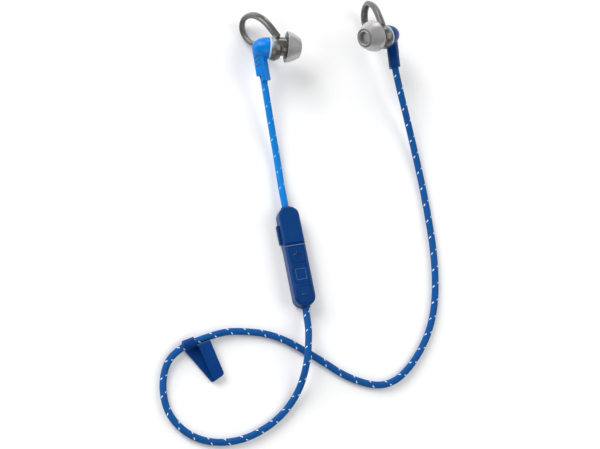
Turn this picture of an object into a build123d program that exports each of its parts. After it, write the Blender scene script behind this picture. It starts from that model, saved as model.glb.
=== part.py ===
from build123d import *
import math
import os

# Neckband earphones, laid out flat on a table. Millimetres, +Z up, table at z = 0.
# The origin is the centre of the control pod's flat back face, which rests on the table.
# Two ear buds are joined by one length of braided cord that passes through the pod and
# carries a shirt clip. Each bud is drawn once in its own frame and mirrored for the other side.

# ---- cord ----
CORD_R = 1.45
CORD_BORE_R = 1.62
SOCKET_DEPTH = 1.8
GROMMET_LENGTH = 1.2
ARC_SHARE = 0.45

# ---- control pod: width along x, length along y, height along z, in the pod's own frame ----
POD_LEAN = 11.4
POD_WIDTH = 8.9
POD_LENGTH = 43.0
POD_HEIGHT = 7.6
POD_END_R = 4.1
POD_WALL = 0.9
POD_SPLIT = 4.4
POD_CORD_Z = 3.45
UPPER_DROP = 0.35
SEAM_Y = 4.7
SEAM_WIDTH = 1.1
SEAM_DEPTH = 0.4
EDGE_SOFT = 0.9
GLAND_R = 2.05
GLAND_BEHIND_WALL = 0.6
GLAND_PROUD = 0.5

# ---- keys ----
KEY_NAMES = ("volume_up_key", "play_key", "volume_down_key")
KEY_FIRST_Y = 0.5
KEY_PITCH = 8.6
KEY_WIDTH = 6.6
KEY_LENGTH = 7.2
KEY_CORNER = 1.4
KEY_GAP = 0.12
KEY_FLANGE = 0.25
KEY_FLANGE_Z = 5.95
KEY_FLANGE_THICK = 0.5
KEY_SOFT = 0.2
SYMBOL_PROUD = 0.15
SYMBOL_SIZE = 3.2
SYMBOL_LINE = 0.5
FRAME_SYMBOL = (4.6, 4.8)
FRAME_LINE = 0.4
FRAME_CORNER = 0.5

# ---- side button, charging socket and its door ----
SIDE_Z = 2.7
POWER_Y = 10.4
POWER_LENGTH = 8.2
POWER_HEIGHT = 2.2
POWER_PROUD = 1.1
POWER_SOFT = 0.35
PORT_Y = 12.6
SOCKET_SIZE = (3.9, 7.4, 2.5)
SOCKET_WALL = 0.35
SOCKET_BACK = 0.8
DOOR_LENGTH = 9.4
DOOR_HEIGHT = 3.0
DOOR_GAP = 0.12
DOOR_PIN_R = 0.35
SIDE_HOLE_R = 0.55
LIGHT_Y = 4.6
MIC_Y = -4.0

# ---- inside the pod ----
BOARD_SIZE = (6.5, 38.0, 0.6)
BOARD_Z = 4.55
BATTERY_SIZE = (5.8, 20.0, 2.6)
BATTERY_Y = -7.5
SWITCH_SIZE = (3.0, 3.0, 0.35)
DOME_R = 0.8
PLUNGER_DEPTH = 0.3

# ---- shirt clip, x along the cord, y up the page, in the clip's own frame ----
CLIP_AT = (-42.2, -37.2)
CLIP_TURN = 24.3
BARREL_R = 2.25
CLIP_LEFT = -4.8
CLIP_RIGHT = 5.9
BARREL_END = 0.2
LEAF_THICK = 1.15
LEAF_HEAD = -1.9
TONGUE_END = -18.3
TONGUE_TIP_LEFT = 0.4
JAW_LEFT = 0.4
JAW_TIP_LEFT = 1.0
JAW_HEAD_Z = 3.35
JAW_TIP_Z = 1.3
TONGUE_CORNER = 1.2
PIN_Y = -4.0
PIN_Z = 2.15
PIN_R = 0.4
KNUCKLE_R = 0.9
LUG_WIDTH = 0.9
HINGE_CLEAR = 0.06
HINGE_GAP = 0.12
SPRING_WIRE_R = 0.14
SPRING_TURNS = 4

# ---- ear bud: x out along the ear tip, y up away from the boot, z across ----
# Each bud has its place, the way its ear tip points and the way its boot points.
BUD_PLACES = {
    "left": ((-11.6, 89.7, 13.2), (1.0, -0.03, -0.01), (0.198, -0.959, -0.200)),
    "right": ((35.0, 96.4, 18.1), (-0.79, -0.385, 0.477), (0.13, -0.987, -0.08)),
}
BODY_DROP = -1.25
BOOT_LEAN = 13.4
BOOT_X = -6.3
BOOT_Z = -1.0
BOOT_SIDE = 4.9
BOOT_CORNER = 1.3
BOOT_LENGTH = 15.8
BOOT_STEP = 2.4
HOOD_FACE = -1.9
HOOD_DEPTH = 7.0
HOOD_R = 4.65
HOOD_WALL = 0.8
RING_FACE = -0.9
RING_R = 4.75
HOUSING_R = 4.2
HOUSING_WALL = 0.5
HOUSING_FRONT = 2.0
NOZZLE_R = 2.6
NOZZLE_BORE_R = 1.9
NOZZLE_END = 10.6
SLEEVE_R = 5.4
SLEEVE_MID = 0.4
SLEEVE_FRONT = 3.0
NECK_R = 4.05
NECK_END = 6.9
SLEEVE_CLEAR = 0.08
TIP_RIM = 5.5
TIP_FRONT = 12.0
TIP_RIM_R = 6.8
TIP_FRONT_R = 3.4
TIP_BORE_R = 2.68
LOOP_R = 1.45
BADGE_BARS = 3
BADGE_PITCH = 1.9
BADGE_TILT = 24

# The stabiliser loops are soft: each lies bent a little differently on the table.
LOOP_ROUTES = {
    "left": [
        (1.2, 3.4, 2.8),
        (-2.6, 8.5, 1.0),
        (-6.1, 11.9, -2.2),
        (-9.0, 13.5, -6.9),
        (-11.8, 12.4, -11.4),
        (-12.1, 8.0, -13.8),
        (-9.8, 3.4, -12.6),
        (-6.6, 0.8, -9.8),
        (0.6, -0.6, -4.2),
    ],
    "right": [
        (1.2, 3.3, 2.4),
        (-2.4, 9.9, -1.2),
        (-4.8, 14.0, -5.2),
        (-6.9, 15.2, -9.4),
        (-8.6, 13.0, -14.0),
        (-8.6, 8.0, -16.0),
        (-7.0, 3.3, -14.0),
        (-4.6, 0.6, -9.6),
        (0.6, -0.6, -4.2),
    ],
}

# ---- cord routes between their two fixed ends, in the table frame ----
BRIGHT_MIDDLE = [
    (-13.1, 67.1, 7.5),
    (-10.3, 54.0, 4.6),
    (-7.5, 41.8, 1.8),
    (-5.8, 28.6, 3.1),
]
NAVY_MIDDLE = [
    (5.3, -29.0, 4.6),
    (4.8, -35.5, 7.7),
    (4.2, -46.0, 7.5),
    (1.2, -58.2, 2.0),
    (-8.2, -70.0, 1.45),
    (-23.6, -78.4, 1.45),
    (-40.6, -78.1, 1.45),
    (-53.0, -68.0, 1.45),
    (-55.6, -52.6, 1.45),
    (-50.9, -40.9, 2.15),
    (-35.2, -34.2, 2.3),
    (-23.2, -31.7, 1.45),
    (-8.0, -32.8, 1.45),
    (8.9, -41.6, 1.45),
    (24.0, -51.0, 1.45),
    (40.4, -53.8, 1.45),
    (52.7, -41.2, 1.45),
    (60.6, -22.6, 1.45),
    (61.3, 1.6, 1.45),
    (57.0, 29.6, 1.45),
    (53.7, 44.9, 1.8),
    (50.0, 58.2, 4.4),
    (46.4, 67.6, 8.9),
    (43.2, 76.2, 12.4),
]

os.makedirs("parts", exist_ok=True)
nodes = {}


def place(frame, shape):
    return frame.location * shape


def cylinder_x(radius, start, end):
    """A cylinder on the x axis from start to end."""
    return Plane.YZ.offset(start).location * Cylinder(
        radius, end - start, align=(Align.CENTER, Align.CENTER, Align.MIN)
    )


def block(x_span, y_span, z_span):
    """A box between two values on each axis."""
    size = [high - low for low, high in (x_span, y_span, z_span)]
    low_corner = (x_span[0], y_span[0], z_span[0])
    return Pos(*low_corner) * Box(*size, align=(Align.MIN, Align.MIN, Align.MIN))


def spun(points):
    """A body of revolution about x, from a closed outline of (x, radius) points."""
    return revolve(make_face(Polyline(*points, close=True)), Axis.X)


def corner_radii(route):
    """The arc radius at each corner: each arc uses ARC_SHARE of its shorter run."""
    points = [Vector(*point) for point in route]
    radii = []
    for before, corner, after in zip(points, points[1:], points[2:]):
        into = corner - before
        out = after - corner
        half_turn = math.radians(into.get_angle(out)) / 2
        radii.append(ARC_SHARE * min(into.length, out.length) / math.tan(half_turn))
    return radii


def tube(route, radius, name):
    """A round tube along straight runs joined by tangent arcs, with its radii and volume printed."""
    radii = corner_radii(route)
    path = FilletPolyline(*route, radius=radii)
    start = Plane(origin=path @ 0, z_dir=path % 0)
    solid = sweep(start * Circle(radius), path=path)
    expected = math.pi * radius**2 * path.length
    print(f"{name}: length {path.length:.1f}, volume over expected {solid.volume / expected:.4f}")
    print("   radii", " ".join(f"{value:.0f}" for value in radii))
    return solid


# ---------------------------------------------------------------- control pod
pod_frame = Plane(origin=(0, 0, 0), x_dir=Vector(1, 0, 0).rotate(Axis.Z, POD_LEAN), z_dir=(0, 0, 1))


def pod_outline(inset, low, high):
    """The pod's rounded outline, drawn in by inset, from one height to another."""
    outline = RectangleRounded(POD_WIDTH - 2 * inset, POD_LENGTH - 2 * inset, POD_END_R - inset)
    return Pos(0, 0, low) * extrude(outline, amount=high - low)


def key_y(index):
    return KEY_FIRST_Y - index * KEY_PITCH


def key_block(grow, low, high):
    outline = RectangleRounded(KEY_WIDTH + 2 * grow, KEY_LENGTH + 2 * grow, KEY_CORNER + grow)
    return Pos(0, 0, low) * extrude(outline, amount=high - low)


def cord_passage(radius):
    """A hole along the pod's whole length for the two cord glands."""
    return Pos(0, 0, POD_CORD_Z) * Rot(90, 0, 0) * Cylinder(radius, POD_LENGTH + 10)


def make_pod_shells():
    cavity = pod_outline(POD_WALL, POD_WALL, POD_HEIGHT - POD_WALL - UPPER_DROP)
    body = pod_outline(0, 0, POD_HEIGHT)
    body = chamfer(body.edges().filter_by_position(Axis.Z, POD_HEIGHT, POD_HEIGHT), EDGE_SOFT)
    body = fillet(body.edges().filter_by_position(Axis.Z, 0, 0), EDGE_SOFT)
    body -= cavity
    body -= cord_passage(GLAND_R)
    upper_top = POD_HEIGHT - UPPER_DROP
    half = POD_WIDTH / 2
    body -= block((-half, half), (SEAM_Y, POD_LENGTH), (upper_top, POD_HEIGHT))
    body -= block((-half, half), (SEAM_Y, SEAM_Y + SEAM_WIDTH), (upper_top - SEAM_DEPTH, upper_top))
    for index in range(len(KEY_NAMES)):
        body -= Pos(0, key_y(index), 0) * key_block(KEY_GAP, POD_SPLIT, POD_HEIGHT + 1)
    reach = POWER_LENGTH / 2 + KEY_GAP
    rise = POWER_HEIGHT / 2 + KEY_GAP
    body -= block((-half - 1, 0), (POWER_Y - reach, POWER_Y + reach), (SIDE_Z - rise, SIDE_Z + rise))
    reach = DOOR_LENGTH / 2
    rise = DOOR_HEIGHT / 2
    body -= block((0, half + 1), (PORT_Y - reach, PORT_Y + reach), (SIDE_Z - rise, SIDE_Z + rise))
    for hole_y in (LIGHT_Y, MIC_Y):
        body -= Pos(half, hole_y, SIDE_Z) * Rot(0, 90, 0) * Cylinder(SIDE_HOLE_R, 3)
    nodes["pod_back_shell"] = body & block((-half, half), (-POD_LENGTH, POD_LENGTH), (0, POD_SPLIT))
    nodes["pod_front_shell"] = body & block(
        (-half, half), (-POD_LENGTH, POD_LENGTH), (POD_SPLIT, POD_HEIGHT)
    )


def symbol(index):
    """Plus, square outline and minus, in that order down the pod."""
    across = Rectangle(SYMBOL_SIZE, SYMBOL_LINE)
    upright = Rectangle(SYMBOL_LINE, SYMBOL_SIZE)
    width, length = FRAME_SYMBOL
    outer = RectangleRounded(width, length, FRAME_CORNER)
    inner = Rectangle(width - 2 * FRAME_LINE, length - 2 * FRAME_LINE)
    return (across + upright, outer - inner, across)[index]


def make_keys():
    flange_room = pod_outline(POD_WALL + KEY_GAP, 0, POD_HEIGHT)
    for index, name in enumerate(KEY_NAMES):
        cap = key_block(0, KEY_FLANGE_Z, POD_HEIGHT)
        top_edges = cap.edges().filter_by_position(Axis.Z, POD_HEIGHT, POD_HEIGHT)
        cap = fillet(top_edges, KEY_SOFT)
        cap += Pos(0, 0, POD_HEIGHT - 0.05) * extrude(symbol(index), amount=SYMBOL_PROUD + 0.05)
        flange = key_block(KEY_FLANGE, KEY_FLANGE_Z, KEY_FLANGE_Z + KEY_FLANGE_THICK - KEY_GAP)
        key = Pos(0, key_y(index), 0) * (cap + flange)
        nodes[name] = key & (flange_room + pod_outline(0, POD_HEIGHT - POD_WALL - UPPER_DROP, 99))


def make_side_pieces():
    half = POD_WIDTH / 2
    inner_wall = half - POD_WALL
    button = block(
        (-half - POWER_PROUD, -inner_wall + PLUNGER_DEPTH),
        (POWER_Y - POWER_LENGTH / 2, POWER_Y + POWER_LENGTH / 2),
        (SIDE_Z - POWER_HEIGHT / 2, SIDE_Z + POWER_HEIGHT / 2),
    )
    nodes["power_button"] = fillet(button.edges().group_by(Axis.X)[0], POWER_SOFT)
    x_size, y_size, z_size = SOCKET_SIZE
    socket_front = inner_wall - 0.1
    socket = block(
        (socket_front - x_size, socket_front),
        (PORT_Y - y_size / 2, PORT_Y + y_size / 2),
        (SIDE_Z - z_size / 2, SIDE_Z + z_size / 2),
    )
    mouth = block(
        (socket_front - x_size + SOCKET_BACK, socket_front + 1),
        (PORT_Y - y_size / 2 + SOCKET_WALL, PORT_Y + y_size / 2 - SOCKET_WALL),
        (SIDE_Z - z_size / 2 + SOCKET_WALL, SIDE_Z + z_size / 2 - SOCKET_WALL),
    )
    contacts = block(
        (socket_front - x_size + SOCKET_BACK, socket_front - 0.6),
        (PORT_Y - 2.2, PORT_Y + 2.2),
        (SIDE_Z - 0.3, SIDE_Z + 0.3),
    )
    nodes["usb_socket"] = socket - mouth + contacts
    reach = DOOR_LENGTH / 2 - DOOR_GAP
    rise = DOOR_HEIGHT / 2 - DOOR_GAP
    door = block((inner_wall + 0.05, half), (PORT_Y - reach, PORT_Y + reach), (SIDE_Z - rise, SIDE_Z + rise))
    door = fillet(door.edges().group_by(Axis.X)[-1], 0.25)
    thumb_edge = block(
        (half - 0.1, half + 0.35),
        (PORT_Y + reach - 1.2, PORT_Y + reach - 0.5),
        (SIDE_Z - 0.9, SIDE_Z + 0.9),
    )
    pin = Pos(half - DOOR_PIN_R, PORT_Y - reach + DOOR_PIN_R, SIDE_Z) * Cylinder(DOOR_PIN_R, 2 * rise)
    nodes["port_door"] = door + thumb_edge + pin
    light = Pos(half - 0.5, LIGHT_Y, SIDE_Z) * Rot(0, 90, 0) * Cylinder(SIDE_HOLE_R - 0.03, 1.0)
    nodes["status_light"] = light
    capsule = Pos(inner_wall - 0.7, MIC_Y, SIDE_Z) * Rot(0, 90, 0) * Cylinder(1.0, 1.2)
    nodes["microphone"] = capsule


def make_pod_insides():
    x_size, y_size, z_size = BOARD_SIZE
    board = Pos(0, 0, BOARD_Z) * extrude(RectangleRounded(x_size, y_size, 2.8), amount=z_size)
    nodes["circuit_board"] = board
    x_size, y_size, z_size = BATTERY_SIZE
    cell = Pos(-0.55, BATTERY_Y, POD_WALL + 0.05) * Box(
        x_size - 0.6, y_size, z_size, align=(Align.CENTER, Align.CENTER, Align.MIN)
    )
    nodes["battery"] = fillet(cell.edges().filter_by(Axis.Y), 0.5)
    x_size, y_size, z_size = SWITCH_SIZE
    board_top = BOARD_Z + BOARD_SIZE[2]
    switches = []
    for index in range(len(KEY_NAMES)):
        base = Box(x_size, y_size, z_size * 0.7, align=(Align.CENTER, Align.CENTER, Align.MIN))
        dome = Cylinder(DOME_R, z_size, align=(Align.CENTER, Align.CENTER, Align.MIN))
        switches.append(Pos(0, key_y(index), board_top) * (base + dome))
    nodes["key_switches"] = Compound(switches)
    plunger_end = -POD_WIDTH / 2 + POD_WALL + PLUNGER_DEPTH
    case = block((plunger_end + 0.9, plunger_end + 2.5), (POWER_Y - 1.8, POWER_Y + 1.8), (2.0, 4.0))
    nodes["power_switch"] = case + block(
        (plunger_end + 0.5, plunger_end + 1.0), (POWER_Y - 0.6, POWER_Y + 0.6), (2.4, 3.2)
    )


def make_cord_glands():
    """A rubber collar at each end of the pod, closed on the inside, that the cord butts into."""
    inner_end = POD_LENGTH / 2 - POD_WALL - GLAND_BEHIND_WALL
    outer_end = POD_LENGTH / 2 + GLAND_PROUD
    for name, turn in (("upper_cord_gland", 0), ("lower_cord_gland", 180)):
        collar = Cylinder(GLAND_R, outer_end - inner_end, align=(Align.CENTER, Align.CENTER, Align.MIN))
        collar = fillet(collar.edges().group_by(Axis.Z)[-1], 0.3)
        collar -= Pos(0, 0, outer_end - inner_end - SOCKET_DEPTH) * Cylinder(
            CORD_BORE_R, 9, align=(Align.CENTER, Align.CENTER, Align.MIN)
        )
        lying = Pos(0, inner_end, POD_CORD_Z) * Rot(-90, 0, 0) * collar
        nodes[name] = Rot(0, 0, turn) * lying


def pod_cord_end(sign):
    """Where a cord's centre line ends inside a gland; sign is +1 at the top, -1 at the bottom."""
    along = sign * (POD_LENGTH / 2 + GLAND_PROUD - SOCKET_DEPTH)
    return pod_frame.from_local_coords(Vector(0, along, POD_CORD_Z))


pod_nodes_start = set(nodes)
make_pod_shells()
make_keys()
make_side_pieces()
make_pod_insides()
make_cord_glands()
for name in set(nodes) - pod_nodes_start:
    nodes[name] = place(pod_frame, nodes[name])


# ---------------------------------------------------------------- shirt clip
clip_frame = Plane(
    origin=(*CLIP_AT, 0), x_dir=Vector(1, 0, 0).rotate(Axis.Z, CLIP_TURN), z_dir=(0, 0, 1)
)


def tongue_outline(top_y, top_left, tip_left):
    """Seen from above: square at the cord, straight on the right and tapering on the left."""
    corners = [
        (top_left, top_y),
        (CLIP_RIGHT, top_y),
        (CLIP_RIGHT + 0.2, TONGUE_END + 1.2),
        (tip_left, TONGUE_END),
    ]
    outline = make_face(Polyline(*corners, close=True))
    tip_corners = outline.vertices().sort_by(Axis.Y)[:2]
    return fillet(tip_corners, TONGUE_CORNER)


def side_profile(points):
    """A slab across the clip's whole width from an outline of (y, z) points."""
    face = make_face(Polyline(*[(0, y, z) for y, z in points], close=True))
    return Pos(CLIP_LEFT - 1, 0, 0) * extrude(face, amount=CLIP_RIGHT - CLIP_LEFT + 3, dir=(1, 0, 0))


def hinge_barrel(radius, low, high):
    return Pos(0, PIN_Y, PIN_Z) * cylinder_x(radius, low, high)


def make_clip():
    """A closed sleeve and back leaf in one piece, and a sprung front jaw on a hinge pin."""
    lug_left = (JAW_LEFT + 0.2, JAW_LEFT + 0.2 + LUG_WIDTH)
    lug_right = (CLIP_RIGHT - 0.1 - LUG_WIDTH, CLIP_RIGHT - 0.1)
    knuckle_left = (lug_left[1] + HINGE_GAP, lug_left[1] + HINGE_GAP + LUG_WIDTH)
    knuckle_right = (lug_right[0] - HINGE_GAP - LUG_WIDTH, lug_right[0] - HINGE_GAP)

    barrel = Pos(0, 0, BARREL_R) * cylinder_x(BARREL_R, CLIP_LEFT, BARREL_END)
    foot = block((CLIP_LEFT, BARREL_END), (LEAF_HEAD - 0.4, 0), (0, LEAF_THICK))
    leaf = extrude(tongue_outline(LEAF_HEAD, CLIP_LEFT, TONGUE_TIP_LEFT), amount=LEAF_THICK)
    frame = barrel + foot + leaf
    for low, high in (lug_left, lug_right):
        frame += hinge_barrel(KNUCKLE_R, low, high)
        frame += block((low, high), (PIN_Y - KNUCKLE_R, PIN_Y + KNUCKLE_R), (LEAF_THICK - 0.1, PIN_Z))
    frame -= Pos(0, 0, BARREL_R) * cylinder_x(CORD_BORE_R, CLIP_LEFT - 1, BARREL_END + 1)
    frame -= hinge_barrel(PIN_R, CLIP_LEFT - 1, CLIP_RIGHT + 1)
    nodes["clip_frame"] = frame

    jaw = side_profile(
        [
            (LEAF_HEAD, JAW_HEAD_Z),
            (LEAF_HEAD, JAW_HEAD_Z + LEAF_THICK - 0.3),
            (LEAF_HEAD - 0.5, JAW_HEAD_Z + LEAF_THICK),
            (TONGUE_END - 1, JAW_TIP_Z + LEAF_THICK),
            (TONGUE_END - 1, JAW_TIP_Z),
            (PIN_Y - 1.5, JAW_HEAD_Z),
        ]
    )
    jaw &= extrude(tongue_outline(0, JAW_LEFT, JAW_TIP_LEFT), amount=JAW_HEAD_Z + 2)
    for low, high in (knuckle_left, knuckle_right):
        jaw += hinge_barrel(KNUCKLE_R, low, high)
        jaw += block((low, high), (PIN_Y - KNUCKLE_R, PIN_Y + KNUCKLE_R), (PIN_Z, JAW_HEAD_Z + 0.1))
    nodes["clip_jaw"] = jaw - hinge_barrel(PIN_R + HINGE_CLEAR, CLIP_LEFT, CLIP_RIGHT)

    nodes["clip_pin"] = hinge_barrel(PIN_R - 0.01, lug_left[0] + 0.05, lug_right[1] - 0.05)
    coil_start = knuckle_left[1] + SPRING_WIRE_R + 0.05
    coil_length = knuckle_right[0] - SPRING_WIRE_R - 0.05 - coil_start
    coil_r = PIN_R + SPRING_WIRE_R + 0.06
    wire_path = Helix(pitch=coil_length / SPRING_TURNS, height=coil_length, radius=coil_r)
    wire_start = Plane(origin=wire_path @ 0, z_dir=wire_path % 0)
    coil = sweep(wire_start * Circle(SPRING_WIRE_R), path=wire_path, is_frenet=True)
    nodes["clip_spring"] = Pos(coil_start, PIN_Y, PIN_Z) * Rot(0, 90, 0) * coil


clip_nodes_start = set(nodes)
make_clip()
for name in set(nodes) - clip_nodes_start:
    nodes[name] = place(clip_frame, nodes[name])


# ---------------------------------------------------------------- ear buds
boot_down = Vector(math.sin(math.radians(BOOT_LEAN)), -math.cos(math.radians(BOOT_LEAN)), 0)
boot_frame = Plane(origin=(BOOT_X, 0, BOOT_Z), x_dir=(0, 0, 1), z_dir=boot_down)


def boot_prism(side, corner, start, end):
    """A rounded square bar along the boot, set cornerwise."""
    section = Rot(0, 0, 45) * RectangleRounded(side, side, corner)
    return boot_frame.location * Pos(0, 0, start) * extrude(section, amount=end - start)


def half_dome(radius, depth):
    """Half an ellipsoid that opens at the hood's face and closes at the back."""
    outline = EllipticalCenterArc((0, 0), depth, radius, start_angle=90, arc_size=90)
    face = make_face([outline, Line((-depth, 0), (0, 0)), Line((0, 0), (0, radius))])
    return Pos(HOOD_FACE, BODY_DROP, 0) * revolve(face, Axis.X)


def body_cylinder(radius, start, end):
    """A cylinder on the driver's axis, which lies a little below the nozzle's."""
    return Pos(0, BODY_DROP, 0) * cylinder_x(radius, start, end)


def make_rear_shell():
    inner_r = HOOD_R - HOOD_WALL
    outer = half_dome(HOOD_R, HOOD_DEPTH) + boot_prism(BOOT_SIDE, BOOT_CORNER, 0, BOOT_LENGTH)
    cavity = half_dome(inner_r, HOOD_DEPTH - HOOD_WALL)
    shell = outer - cavity
    shell -= boot_prism(BOOT_SIDE - 2 * HOOD_WALL, BOOT_CORNER - 0.5, 2, BOOT_LENGTH - 3.6)
    shell -= boot_frame.location * Pos(0, 0, BOOT_LENGTH - 4) * Cylinder(
        CORD_BORE_R, 9, align=(Align.CENTER, Align.CENTER, Align.MIN)
    )
    outer_side = Box(12, 6, 6, align=(Align.CENTER, Align.MIN, Align.MIN))
    shell -= boot_frame.location * Pos(0, 1.2, BOOT_LENGTH - BOOT_STEP) * outer_side
    return shell - body_cylinder(SLEEVE_R + 0.4, HOOD_FACE, SLEEVE_FRONT)


def make_front_housing():
    """A cup for the driver with a ring at its mouth and the sound nozzle on its front."""
    cup = body_cylinder(RING_R, HOOD_FACE, RING_FACE)
    cup += body_cylinder(HOUSING_R, RING_FACE, HOUSING_FRONT)
    cup += cylinder_x(NOZZLE_R, HOUSING_FRONT - 0.2, NOZZLE_END)
    inner_r = HOUSING_R - HOUSING_WALL
    cup -= body_cylinder(inner_r, HOOD_FACE - 1, HOUSING_FRONT - HOUSING_WALL)
    return cup - cylinder_x(NOZZLE_BORE_R, 0, NOZZLE_END + 1)


def make_driver():
    room = HOUSING_R - HOUSING_WALL - 0.03
    frame = body_cylinder(room, -1.8, 0.9) - body_cylinder(room - 0.5, -2, 1)
    frame += body_cylinder(room, -1.8, -1.4) - body_cylinder(0.8, -2, -1)
    magnet = body_cylinder(2.7, -1.35, 0.1)
    rim_r = room - 0.55
    cone = spun([(0.35, 0), (0.35, rim_r), (0.5, rim_r), (0.75, 1.2), (0.85, 0)])
    return frame, magnet, Pos(0, BODY_DROP, 0) * cone


def make_sleeve():
    """The soft sleeve over the housing, and the space inside it."""
    start = RING_FACE + 0.05
    ball = Pos(SLEEVE_MID, BODY_DROP, 0) * Sphere(SLEEVE_R)
    ball &= cylinder_x(2 * SLEEVE_R, start, SLEEVE_FRONT)
    outer = ball + cylinder_x(NECK_R, SLEEVE_FRONT - 1.5, NECK_END)
    inside = body_cylinder(RING_R + 0.3, HOOD_FACE - HOOD_DEPTH, start)
    inside += body_cylinder(HOUSING_R + SLEEVE_CLEAR, start, HOUSING_FRONT + SLEEVE_CLEAR)
    inside += cylinder_x(NOZZLE_R + SLEEVE_CLEAR, HOUSING_FRONT, NECK_END + 1)
    return outer, inside


def make_ear_tip():
    outline = [
        (TIP_RIM, TIP_RIM_R),
        (TIP_RIM + 2.2, TIP_RIM_R - 0.55),
        (TIP_RIM + 4.3, TIP_RIM_R - 1.6),
        (TIP_FRONT - 0.6, TIP_FRONT_R + 0.6),
        (TIP_FRONT, TIP_FRONT_R),
        (TIP_FRONT, TIP_BORE_R),
        (NECK_END + 0.1, TIP_BORE_R),
        (NECK_END + 0.1, TIP_FRONT_R),
        (TIP_FRONT - 2.0, TIP_FRONT_R),
        (TIP_FRONT - 2.6, TIP_FRONT_R + 1.0),
        (TIP_RIM + 2.4, TIP_RIM_R - 1.25),
        (TIP_RIM, TIP_RIM_R - 0.6),
    ]
    return spun(outline)


def make_badge():
    """Slanted bars, a plain ornament standing slightly proud of the boot's outer face."""
    bars = []
    for step in range(BADGE_BARS):
        bar = Box(BOOT_SIDE * 0.5, 0.3, 0.55)
        spot = Pos(0, BOOT_SIDE / 2, BOOT_LENGTH * 0.32 + BADGE_PITCH * step)
        bars.append(boot_frame.location * Rot(0, 0, -45) * spot * Rot(0, BADGE_TILT, 0) * bar)
    return Compound(bars)


def make_bud(side):
    """All pieces of one bud in the left bud's own frame."""
    frame, magnet, cone = make_driver()
    sleeve, sleeve_bore = make_sleeve()
    loop = tube(LOOP_ROUTES[side], LOOP_R, f"{side} loop")
    grommet = boot_frame.location * Pos(0, 0, BOOT_LENGTH - SOCKET_DEPTH - GROMMET_LENGTH)
    mesh_spot = NOZZLE_END - 0.6
    return {
        "rear_shell": make_rear_shell(),
        "front_housing": make_front_housing(),
        "driver_frame": frame,
        "driver_magnet": magnet,
        "driver_diaphragm": cone,
        "nozzle_mesh": cylinder_x(NOZZLE_BORE_R - 0.03, mesh_spot, mesh_spot + 0.25),
        "cord_grommet": grommet
        * Cylinder(CORD_BORE_R - 0.02, GROMMET_LENGTH, align=(Align.CENTER, Align.CENTER, Align.MIN)),
        "stabilizer": (sleeve + loop) - sleeve_bore,
        "ear_tip": make_ear_tip(),
        "accent_bars": make_badge(),
    }


def bud_frame(side):
    """The bud's frame on the table: x along the ear tip, y away from the boot."""
    origin, tip_way, boot_way = BUD_PLACES[side]
    x_way = Vector(*tip_way).normalized()
    down = Vector(*boot_way)
    up_way = -(down - x_way * down.dot(x_way)).normalized()
    return Plane(origin=origin, x_dir=x_way, z_dir=x_way.cross(up_way))


def cord_start(side):
    """Where the cord's centre line ends inside the boot, and its way out of the boot."""
    across = 1 if side == "left" else -1
    local = Vector(BOOT_X, 0, BOOT_Z) + boot_down * (BOOT_LENGTH - SOCKET_DEPTH)
    frame = bud_frame(side)
    return frame.from_local_coords(Vector(local.X, local.Y, local.Z * across))


for side in BUD_PLACES:
    for name, shape in make_bud(side).items():
        if side == "right":
            shape = mirror(shape, about=Plane.XY)
        nodes[f"{side}_{name}"] = place(bud_frame(side), shape)


# ---------------------------------------------------------------- cords
bright_route = [cord_start("left")] + [Vector(*p) for p in BRIGHT_MIDDLE] + [pod_cord_end(1)]
navy_route = [pod_cord_end(-1)] + [Vector(*p) for p in NAVY_MIDDLE] + [cord_start("right")]
nodes["bright_cord"] = tube([tuple(p) for p in bright_route], CORD_R, "bright cord")
nodes["navy_cord"] = tube([tuple(p) for p in navy_route], CORD_R, "navy cord")
print("bright ends", bright_route[0], bright_route[-1])
print("navy ends", navy_route[0], navy_route[-1])

for name, shape in nodes.items():
    export_step(shape, f"parts/{name}.step")
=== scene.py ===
import math

import bpy
from mathutils import Matrix, Vector


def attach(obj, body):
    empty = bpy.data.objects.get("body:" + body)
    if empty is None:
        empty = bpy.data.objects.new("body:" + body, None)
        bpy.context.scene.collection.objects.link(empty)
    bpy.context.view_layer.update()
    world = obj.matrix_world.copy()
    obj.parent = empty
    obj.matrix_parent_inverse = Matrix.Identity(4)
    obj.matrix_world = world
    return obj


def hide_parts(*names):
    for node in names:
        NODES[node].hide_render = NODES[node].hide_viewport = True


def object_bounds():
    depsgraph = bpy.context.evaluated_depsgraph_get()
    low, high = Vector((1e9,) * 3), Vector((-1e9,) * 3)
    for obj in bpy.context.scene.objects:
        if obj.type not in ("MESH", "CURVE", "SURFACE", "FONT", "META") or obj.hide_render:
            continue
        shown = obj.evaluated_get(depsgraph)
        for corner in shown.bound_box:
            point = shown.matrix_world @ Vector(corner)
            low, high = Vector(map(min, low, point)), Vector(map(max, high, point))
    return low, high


# Neckband earphones lying flat on a pale floor. Blender units are metres; MM turns the
# design's millimetres into them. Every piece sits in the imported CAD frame.
MM = 0.001

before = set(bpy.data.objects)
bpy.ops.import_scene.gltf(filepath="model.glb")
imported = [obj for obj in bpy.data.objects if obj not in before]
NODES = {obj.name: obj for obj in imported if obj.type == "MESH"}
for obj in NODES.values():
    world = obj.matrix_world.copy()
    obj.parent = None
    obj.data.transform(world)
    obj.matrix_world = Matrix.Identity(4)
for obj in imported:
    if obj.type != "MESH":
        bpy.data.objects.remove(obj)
CAD_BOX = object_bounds()
SIDES = ("left", "right")

# ---- mesh work: where a turned outline closes on its axis, and how soft joins are flowed ----
ON_AXIS = 0.02
WELD_REACH = 0.002
SHELL_VOXEL = 0.16
SHELL_SMOOTHING = 12
SILICONE_VOXEL = 0.2
SILICONE_SMOOTHING = 10

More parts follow.
